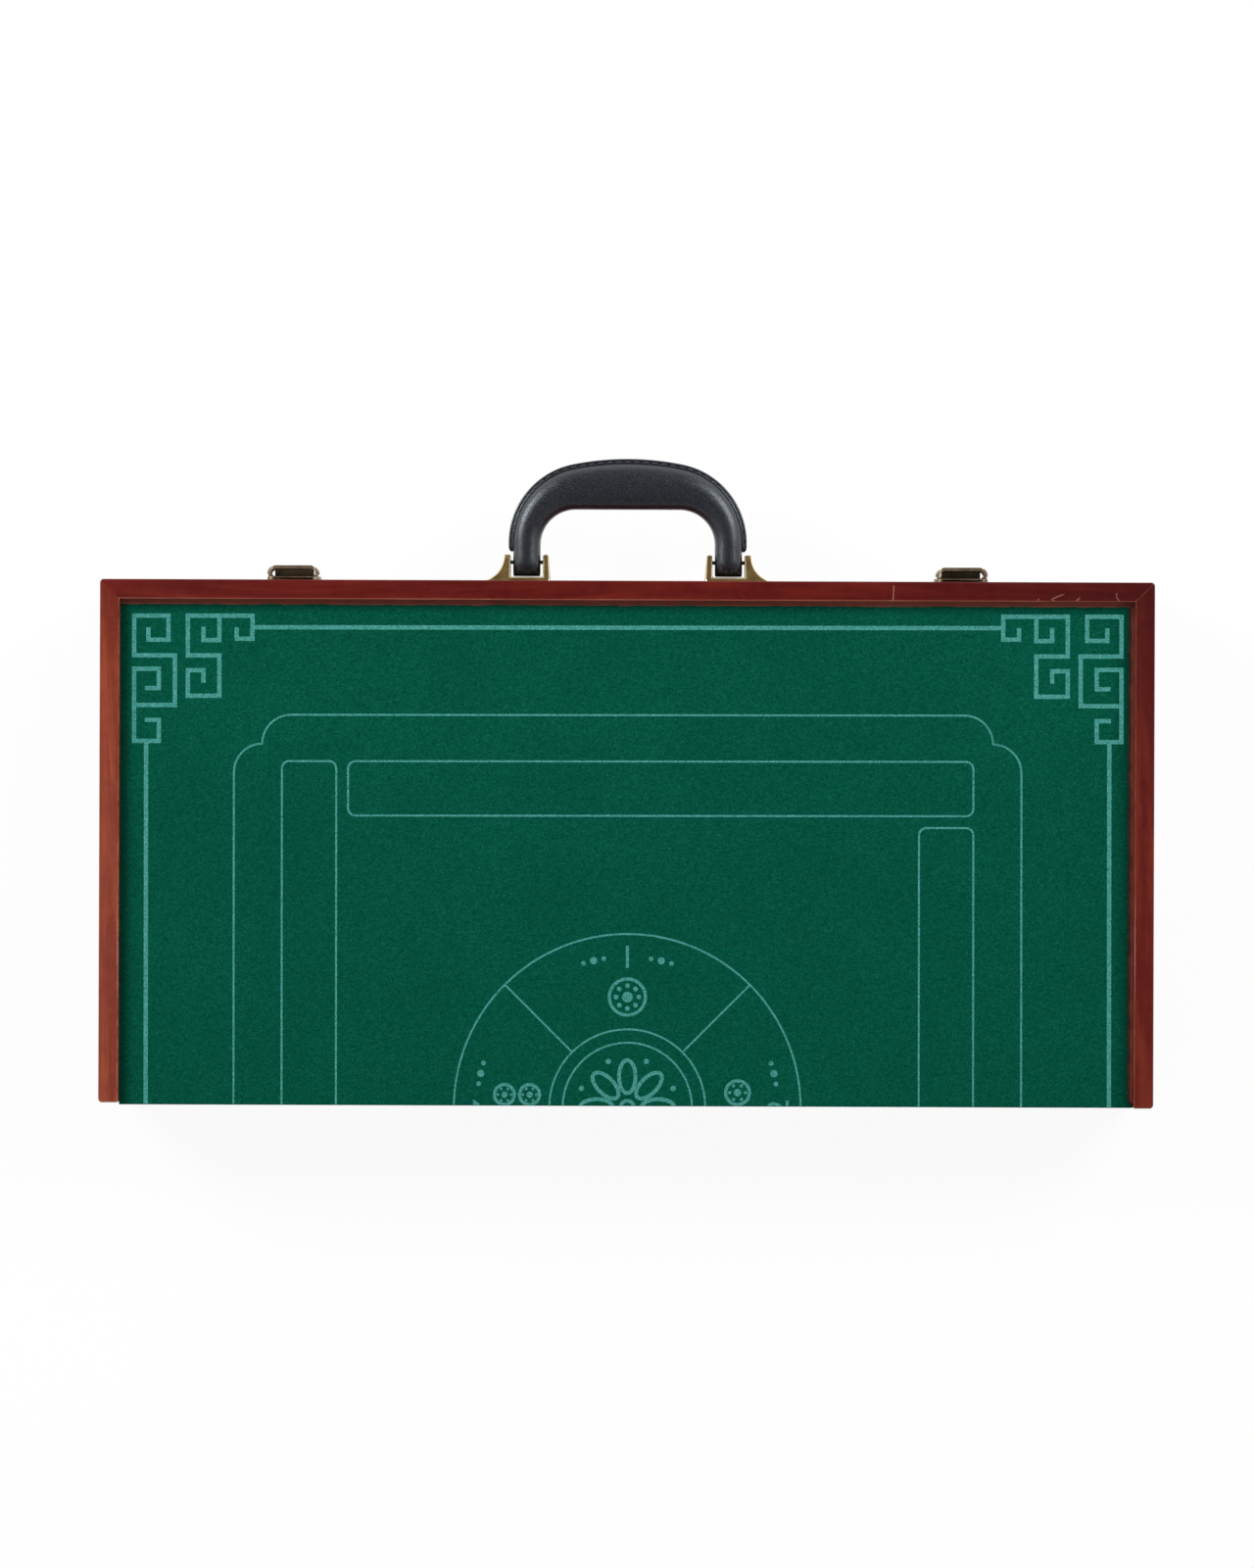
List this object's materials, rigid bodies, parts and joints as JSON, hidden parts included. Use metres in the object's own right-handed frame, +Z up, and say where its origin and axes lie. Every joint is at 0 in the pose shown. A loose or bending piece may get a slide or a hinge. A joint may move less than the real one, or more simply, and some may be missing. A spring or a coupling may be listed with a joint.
{
  "type": "mahjong case",
  "caption": "Flat folding wooden case for a tile game, with green felt playing faces outside, a leather handle, draw latches and a hinge that opens it into a square board",
  "frame": {"origin": "centre of the case's outline in plan, handle and hinges included, on the plane that it lies on", "axes": "+X along the hinge edge, to the right for someone who faces the handle; +Y from the handle side to the hinge side; +Z up from the lower playing face to the upper one"},
  "size_m": [0.67, 0.4158, 0.09],
  "materials": {
    "lacquered_wood": "reddish mahogany stain under semi-gloss lacquer",
    "plain_wood": "plain wood under clear varnish",
    "playing_felt": "dark green felt with a pale green printed playing pattern",
    "lining_cloth": "thin green lining felt",
    "antique_brass": "antiqued brass, worn bright at the edges",
    "steel": "darkened steel",
    "black_leather": "black grained leather with a stitched seam"
  },
  "bodies": {
    "lower_tray": {"lower_handle_rail": "lacquered_wood", "lower_left_rail": "lacquered_wood", "lower_right_rail": "lacquered_wood", "lower_hinge_wall": "plain_wood", "lower_panel": "plain_wood", "lower_long_divider": "plain_wood", "lower_cross_dividers": "plain_wood", "lower_playing_felt": "playing_felt", "lower_lining": "lining_cloth", "lower_hinge_screws": "antique_brass", "left_hinge_lower_leaf": "antique_brass", "middle_hinge_lower_leaf": "antique_brass", "right_hinge_lower_leaf": "antique_brass", "left_hinge_pin": "steel", "middle_hinge_pin": "steel", "right_hinge_pin": "steel", "left_latch_catch": "antique_brass", "right_latch_catch": "antique_brass", "catch_screws": "antique_brass"},
    "upper_tray": {"upper_handle_rail": "lacquered_wood", "upper_left_rail": "lacquered_wood", "upper_right_rail": "lacquered_wood", "upper_hinge_wall": "plain_wood", "upper_panel": "plain_wood", "upper_long_divider": "plain_wood", "upper_cross_dividers": "plain_wood", "upper_playing_felt": "playing_felt", "upper_lining": "lining_cloth", "upper_hinge_screws": "antique_brass", "left_hinge_upper_leaf": "antique_brass", "middle_hinge_upper_leaf": "antique_brass", "right_hinge_upper_leaf": "antique_brass", "left_handle_bracket": "antique_brass", "left_handle_pin": "steel", "left_latch_base": "antique_brass", "left_latch_lever_pin": "steel", "right_handle_bracket": "antique_brass", "right_handle_pin": "steel", "right_latch_base": "antique_brass", "right_latch_lever_pin": "steel", "handle_screws": "steel", "handle_washers": "steel", "latch_screws": "antique_brass"},
    "handle": {"handle_grip": "black_leather", "handle_seam_strip": "black_leather"},
    "left_lever": {"left_latch_lever": "antique_brass", "left_latch_link_pin": "steel"},
    "left_link": {"left_latch_link": "antique_brass"},
    "right_lever": {"right_latch_lever": "antique_brass", "right_latch_link_pin": "steel"},
    "right_link": {"right_latch_link": "antique_brass"}
  },
  "joints": [
    {"name": "case_fold", "type": "hinge", "parent": "lower_tray", "child": "upper_tray", "pos_m": [0, 0.20533, 0.045], "axis": [-1, 0, 0], "range_deg": [0, 180]},
    {"name": "handle_swing", "type": "hinge", "parent": "upper_tray", "child": "handle", "pos_m": [0, -0.14153, 0.065], "axis": [1, 0, 0], "range_deg": [-90, 90]},
    {"name": "left_lever_turn", "type": "hinge", "parent": "upper_tray", "child": "left_lever", "pos_m": [-0.213, -0.13387, 0.057], "axis": [1, 0, 0], "range_deg": [0, 100]},
    {"name": "left_link_turn", "type": "hinge", "parent": "left_lever", "child": "left_link", "pos_m": [-0.213, -0.13317, 0.065], "axis": [1, 0, 0], "range_deg": [-100, 0]},
    {"name": "right_lever_turn", "type": "hinge", "parent": "upper_tray", "child": "right_lever", "pos_m": [0.213, -0.13387, 0.057], "axis": [1, 0, 0], "range_deg": [0, 100]},
    {"name": "right_link_turn", "type": "hinge", "parent": "right_lever", "child": "right_link", "pos_m": [0.213, -0.13317, 0.065], "axis": [1, 0, 0], "range_deg": [-100, 0]}
  ],
  "couplings": [
    {"joint": "left_link_turn", "follows": "left_lever_turn", "ratio": -1},
    {"joint": "right_link_turn", "follows": "right_lever_turn", "ratio": -1}
  ]
}
